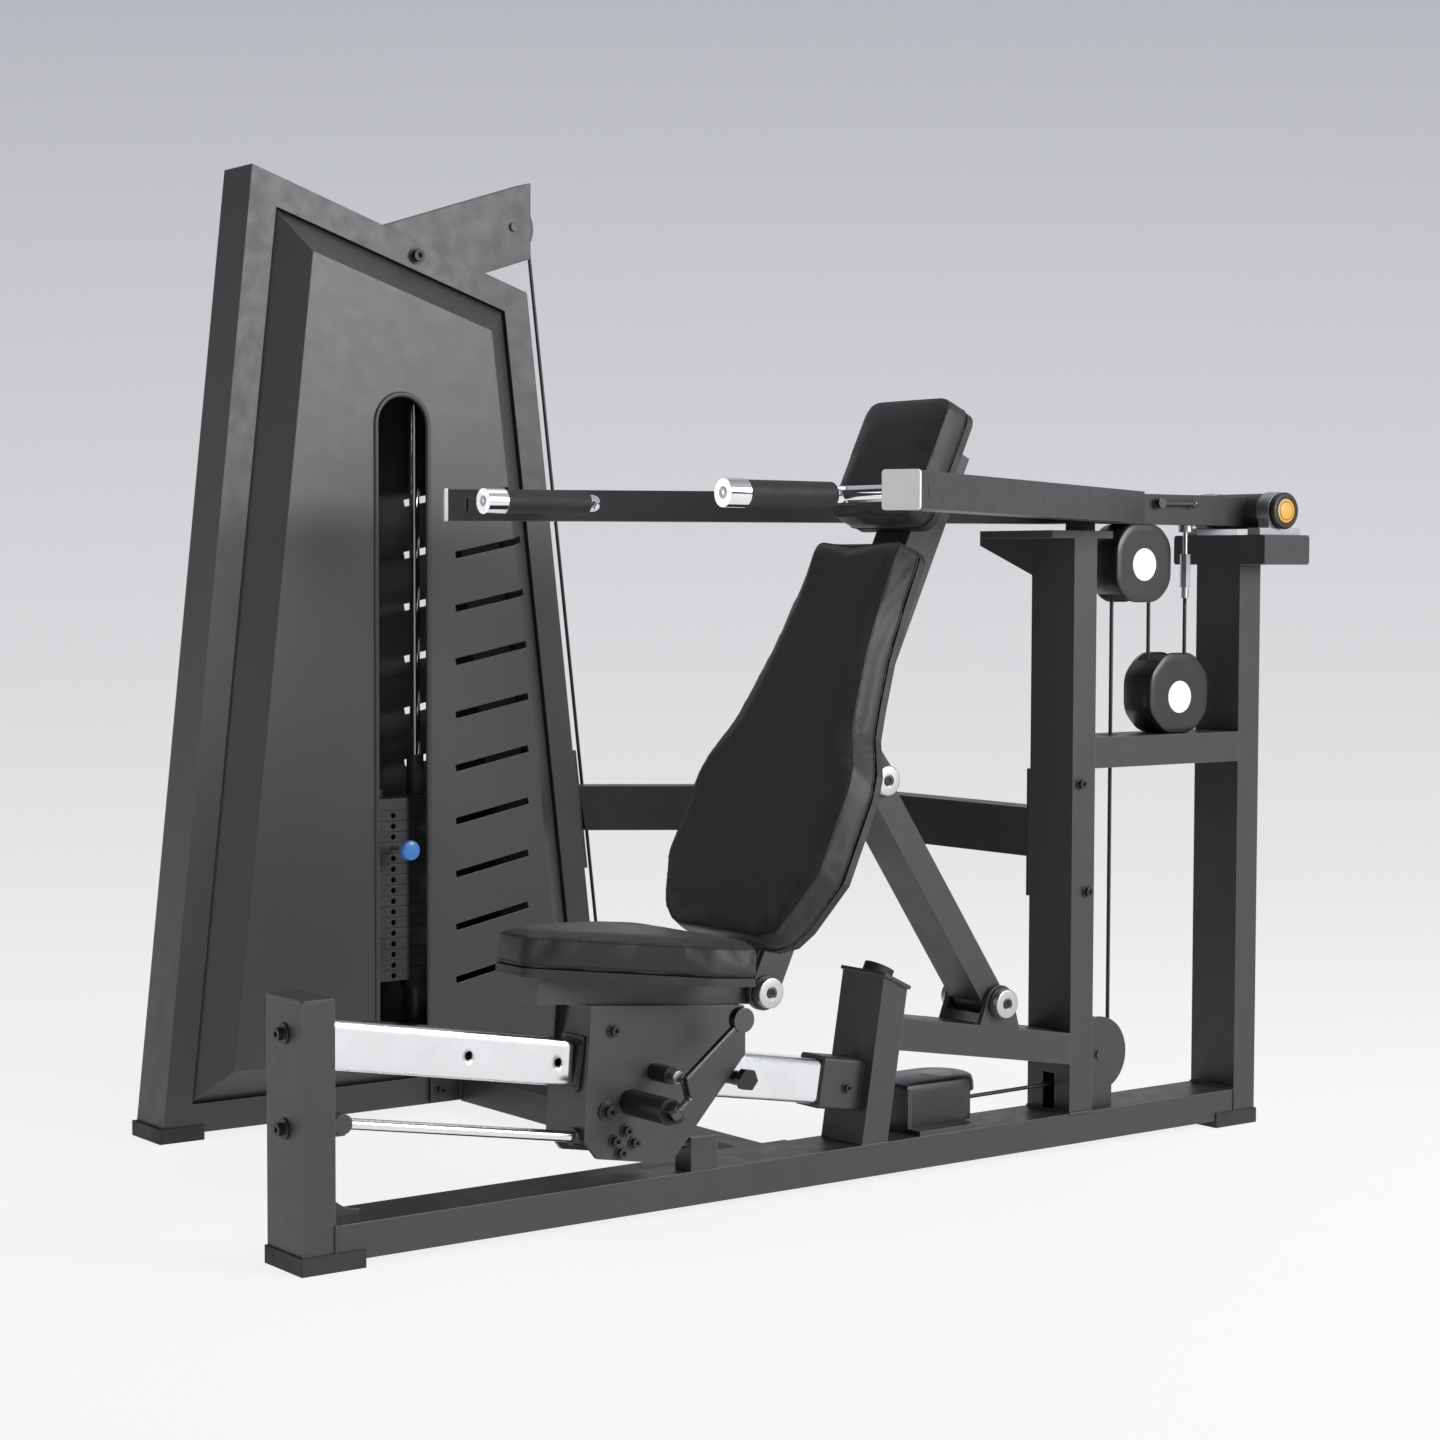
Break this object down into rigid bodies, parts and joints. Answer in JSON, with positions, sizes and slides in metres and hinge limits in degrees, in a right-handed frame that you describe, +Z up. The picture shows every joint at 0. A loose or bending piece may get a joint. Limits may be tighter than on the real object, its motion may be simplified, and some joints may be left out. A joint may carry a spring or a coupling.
{
  "type": "selectorised multi-press gym machine",
  "caption": "Adjustable multi-press: sliding seat with folding back rest, V-shaped press arm and a cable to a weight stack in a side tower",
  "frame": {"origin": "on the floor under the middle of the front post's front face", "axes": "X from the front post to the rear upright, Y towards the weight tower, Z up"},
  "size_m": [1.9129, 1.5972, 1.63],
  "materials": {
    "main_beam": "satin",
    "front_post": "satin",
    "post_cap": "satin",
    "front_upright": "satin",
    "rear_upright": "satin",
    "cross_member": "satin",
    "slide_rail": "polished",
    "rail_post": "satin",
    "lower_guide_rod": "polished",
    "rod_mounts": "satin",
    "inclined_beam": "satin",
    "strut_pin": "satin",
    "base_cross_beam": "satin",
    "tie_beam": "satin",
    "pivot_bearings": "satin",
    "pulley_brackets": "satin",
    "pulley_guards": "gloss",
    "frame_bolts": "satin",
    "rubber_feet": "matt",
    "rubber_bumpers": "matt",
    "cables": "satin",
    "tower_frame": "satin",
    "top_beam": "satin",
    "front_shroud": "satin",
    "rear_shroud": "satin",
    "stack_guide_rods": "polished",
    "resting_plates": "satin",
    "carriage": "satin",
    "rail_bushes": "satin",
    "carriage_bolts": "satin",
    "seat_support": "satin",
    "seat_board": "satin",
    "seat_pad": "satin",
    "lock_pin": "polished",
    "lock_lever": "polished",
    "back_frame": "satin",
    "back_pins": "satin",
    "back_boards": "satin",
    "back_pad": "satin",
    "head_pad": "satin",
    "strut": "satin",
    "press_arm": "satin",
    "arm_end_caps": "satin",
    "handle_bars": "polished",
    "hand_grips": "matt",
    "pivot_shaft": "satin",
    "pivot_caps": "satin",
    "arm_pulley_guard": "gloss",
    "turnbuckle": "polished",
    "arm_lever": "polished",
    "lifted_plates": "satin",
    "head_plate": "satin",
    "selector_pin": "gloss",
    "arm_pulley": "satin",
    "cross_pulley": "satin",
    "upright_foot_pulley": "satin",
    "floor_pulley": "satin",
    "tower_foot_pulley": "satin",
    "end_pulley": "satin",
    "stack_pulley": "satin"
  },
  "bodies": {
    "frame": {"main_beam": "main_beam", "front_post": "front_post", "post_cap": "post_cap", "front_upright": "front_upright", "rear_upright": "rear_upright", "cross_member": "cross_member", "slide_rail": "slide_rail", "rail_post": "rail_post", "lower_guide_rod": "lower_guide_rod", "rod_mounts": "rod_mounts", "inclined_beam": "inclined_beam", "strut_pin": "strut_pin", "base_cross_beam": "base_cross_beam", "tie_beam": "tie_beam", "pivot_bearings": "pivot_bearings", "pulley_brackets": "pulley_brackets", "pulley_guards": "pulley_guards", "frame_bolts": "frame_bolts", "rubber_feet": "rubber_feet", "rubber_bumpers": "rubber_bumpers", "cables": "cables", "tower_frame": "tower_frame", "top_beam": "top_beam", "front_shroud": "front_shroud", "rear_shroud": "rear_shroud", "stack_guide_rods": "stack_guide_rods", "resting_plates": "resting_plates"},
    "seat": {"carriage": "carriage", "rail_bushes": "rail_bushes", "carriage_bolts": "carriage_bolts", "seat_support": "seat_support", "seat_board": "seat_board", "seat_pad": "seat_pad"},
    "pin": {"lock_pin": "lock_pin"},
    "lever": {"lock_lever": "lock_lever"},
    "backrest": {"back_frame": "back_frame", "back_pins": "back_pins", "back_boards": "back_boards", "back_pad": "back_pad", "head_pad": "head_pad"},
    "strut": {"strut": "strut"},
    "arm": {"press_arm": "press_arm", "arm_end_caps": "arm_end_caps", "handle_bars": "handle_bars", "hand_grips": "hand_grips", "pivot_shaft": "pivot_shaft", "pivot_caps": "pivot_caps", "arm_pulley_guard": "arm_pulley_guard", "turnbuckle": "turnbuckle"},
    "small_lever": {"arm_lever": "arm_lever"},
    "stack": {"lifted_plates": "lifted_plates", "head_plate": "head_plate"},
    "selector": {"selector_pin": "selector_pin"},
    "arm_pulley": {"arm_pulley": "arm_pulley"},
    "cross_pulley": {"cross_pulley": "cross_pulley"},
    "upright_foot_pulley": {"upright_foot_pulley": "upright_foot_pulley"},
    "floor_pulley": {"floor_pulley": "floor_pulley"},
    "tower_foot_pulley": {"tower_foot_pulley": "tower_foot_pulley"},
    "end_pulley": {"end_pulley": "end_pulley"},
    "stack_pulley": {"stack_pulley": "stack_pulley"}
  },
  "joints": [
    {"name": "arm_lift", "type": "hinge", "parent": "frame", "child": "arm", "pos_m": [1.85, 0, 1.048], "axis": [0, 1, 0], "range_deg": [0, 30], "deforming": ["cables"]},
    {"name": "stack_lift", "type": "slide", "parent": "frame", "child": "stack", "axis": [0, 0, 1], "range_m": [0, 0.36]},
    {"name": "selector_pull", "type": "slide", "parent": "stack", "child": "selector", "axis": [0, -1, 0], "range_m": [0, 0.08]},
    {"name": "seat_slide", "type": "slide", "parent": "frame", "child": "seat", "axis": [-0.9867, 0, 0.1625], "range_m": [0, 0.302]},
    {"name": "backrest_hinge", "type": "hinge", "parent": "seat", "child": "backrest", "pos_m": [0.776, 0, 0.3163], "axis": [0, 1, 0], "range_deg": [0, 38]},
    {"name": "strut_hinge", "type": "hinge", "parent": "frame", "child": "strut", "pos_m": [1.25, 0, 0.258], "axis": [0, -1, 0], "range_deg": [0, 27.2]},
    {"name": "lever_hinge", "type": "hinge", "parent": "seat", "child": "lever", "pos_m": [0.531, -0.163, 0.178], "axis": [-0.6074, 0, 0.7944], "range_deg": [0, 11.5]},
    {"name": "pin_slide", "type": "slide", "parent": "seat", "child": "pin", "axis": [0, 1, 0], "range_m": [0, 0.0125]},
    {"name": "small_lever_hinge", "type": "hinge", "parent": "arm", "child": "small_lever", "pos_m": [1.615, -0.035, 1.058], "axis": [0, -1, 0], "range_deg": [0, 20]},
    {"name": "arm_pulley_spin", "type": "hinge", "parent": "arm", "child": "arm_pulley", "pos_m": [1.58, 0, 0.956], "axis": [0, 1, 0], "range_deg": [-1, 480]},
    {"name": "cross_pulley_spin", "type": "hinge", "parent": "frame", "child": "cross_pulley", "pos_m": [1.666, 0, 0.735], "axis": [0, -1, 0], "range_deg": [-1, 480]},
    {"name": "upright_foot_pulley_spin", "type": "hinge", "parent": "frame", "child": "upright_foot_pulley", "pos_m": [1.494, 0, 0.148], "axis": [0, 1, 0], "range_deg": [-1, 480]},
    {"name": "floor_pulley_spin", "type": "hinge", "parent": "frame", "child": "floor_pulley", "pos_m": [1.19817, 0.043, 0.102], "axis": [0, 0, 1], "range_deg": [-1, 480]},
    {"name": "tower_foot_pulley_spin", "type": "hinge", "parent": "frame", "child": "tower_foot_pulley", "pos_m": [1.15003, 0.875, 0.14469], "axis": [0.9928, 0, 0.1195], "range_deg": [-1, 480]},
    {"name": "end_pulley_spin", "type": "hinge", "parent": "frame", "child": "end_pulley", "pos_m": [0.937, 0.918, 1.55], "axis": [0, 1, 0], "range_deg": [-1, 480]},
    {"name": "stack_pulley_spin", "type": "hinge", "parent": "frame", "child": "stack_pulley", "pos_m": [0.715, 0.918, 1.452], "axis": [0, 1, 0], "range_deg": [-1, 480]}
  ],
  "couplings": [
    {"joint": "stack_lift", "follows": "arm_lift", "m_per_rad": 0.681},
    {"joint": "backrest_hinge", "follows": "seat_slide", "rad_per_m": 2.189},
    {"joint": "strut_hinge", "follows": "seat_slide", "rad_per_m": 1.567},
    {"joint": "pin_slide", "follows": "lever_hinge", "m_per_rad": 0.06},
    {"joint": "arm_pulley_spin", "follows": "arm_lift", "ratio": 7.9},
    {"joint": "cross_pulley_spin", "follows": "arm_lift", "ratio": 3.3},
    {"joint": "upright_foot_pulley_spin", "follows": "arm_lift", "ratio": 15.8},
    {"joint": "floor_pulley_spin", "follows": "arm_lift", "ratio": 15.8},
    {"joint": "tower_foot_pulley_spin", "follows": "arm_lift", "ratio": 15.8},
    {"joint": "end_pulley_spin", "follows": "arm_lift", "ratio": 15.8},
    {"joint": "stack_pulley_spin", "follows": "arm_lift", "ratio": 15.8}
  ]
}
